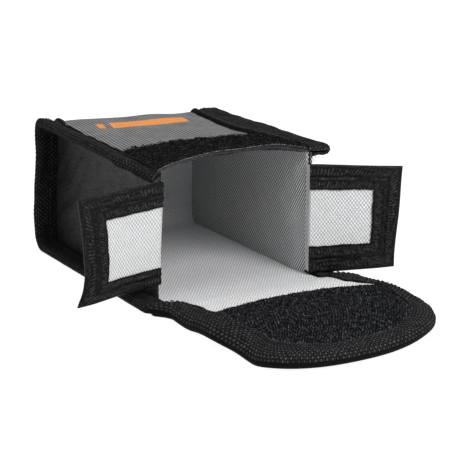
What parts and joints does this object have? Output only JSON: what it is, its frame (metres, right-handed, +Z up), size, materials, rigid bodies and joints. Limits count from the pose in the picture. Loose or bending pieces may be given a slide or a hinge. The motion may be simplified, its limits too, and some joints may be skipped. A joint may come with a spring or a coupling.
{
  "type": "lipo battery safety bag",
  "caption": "Soft fire-resistant pouch for a drone battery, lying open: padded box walls, bound side seams, ears that fold across the mouth and a hook-and-loop flap.",
  "frame": {"origin": "on the underside of the back panel, in the middle of the mouth edge", "axes": "+X to the right of the mouth seen from outside, +Y into the bag towards its base, +Z up"},
  "size_m": [0.1509, 0.2082, 0.0616],
  "materials": {
    "coated_cloth": "dark grey coated cloth with a fine woven grid and a slight sheen",
    "gusset_cloth": "black coated cloth with a fine leather grain, semi-gloss",
    "felt": "grey needled felt board",
    "lining": "white woven glass-fibre cloth, plain weave",
    "binding_tape": "black woven tape, ribbed across",
    "smooth_binding": "black smooth narrow binding, semi-gloss",
    "hem_cloth": "black coated hem tape, semi-gloss, stitched",
    "loop_pile": "black fuzzy loop pile",
    "hook_tape": "black hook tape with a fine stubble"
  },
  "bodies": {
    "bag": {"wrap_shell": "coated_cloth", "front_padding": "felt", "base_padding": "felt", "back_padding": "felt", "wrap_lining": "lining", "left_gusset_shell": "gusset_cloth", "left_gusset_padding": "felt", "left_gusset_lining": "lining", "right_gusset_shell": "gusset_cloth", "right_gusset_padding": "felt", "right_gusset_lining": "lining", "left_seam_binding": "binding_tape", "right_seam_binding": "binding_tape", "mouth_binding": "smooth_binding", "loop_strip": "loop_pile"},
    "left_ear": {"left_ear_shell": "gusset_cloth", "left_ear_lining": "lining", "left_ear_hem": "hem_cloth"},
    "right_ear": {"right_ear_shell": "gusset_cloth", "right_ear_lining": "lining", "right_ear_hem": "hem_cloth"},
    "flap_cover": {"flap_cover_shell": "coated_cloth", "flap_cover_padding": "felt", "flap_cover_lining": "lining", "flap_cover_left_binding": "binding_tape", "flap_cover_right_binding": "binding_tape", "hook_patch_lower": "hook_tape"},
    "flap_tip": {"flap_tip_shell": "coated_cloth", "flap_tip_padding": "felt", "flap_tip_lining": "lining", "flap_tip_binding": "binding_tape", "hook_patch_upper": "hook_tape"}
  },
  "joints": [
    {"name": "left_ear_fold", "type": "hinge", "parent": "bag", "child": "left_ear", "pos_m": [-0.0384, -0.0009, 0.03], "axis": [0, 0, 1], "range_deg": [-83, 172]},
    {"name": "right_ear_fold", "type": "hinge", "parent": "bag", "child": "right_ear", "pos_m": [0.0384, -0.0037, 0.03], "axis": [0, 0, -1], "range_deg": [-100, 155]},
    {"name": "flap_root_fold", "type": "hinge", "parent": "bag", "child": "flap_cover", "pos_m": [0, -0.0125, 0.00255], "axis": [-1, 0, 0], "range_deg": [-94.5, 85.5]},
    {"name": "flap_tip_fold", "type": "hinge", "parent": "flap_cover", "child": "flap_tip", "pos_m": [0, -0.07208, 0.0102], "axis": [-1, 0, 0], "range_deg": [0, 103.76]}
  ]
}
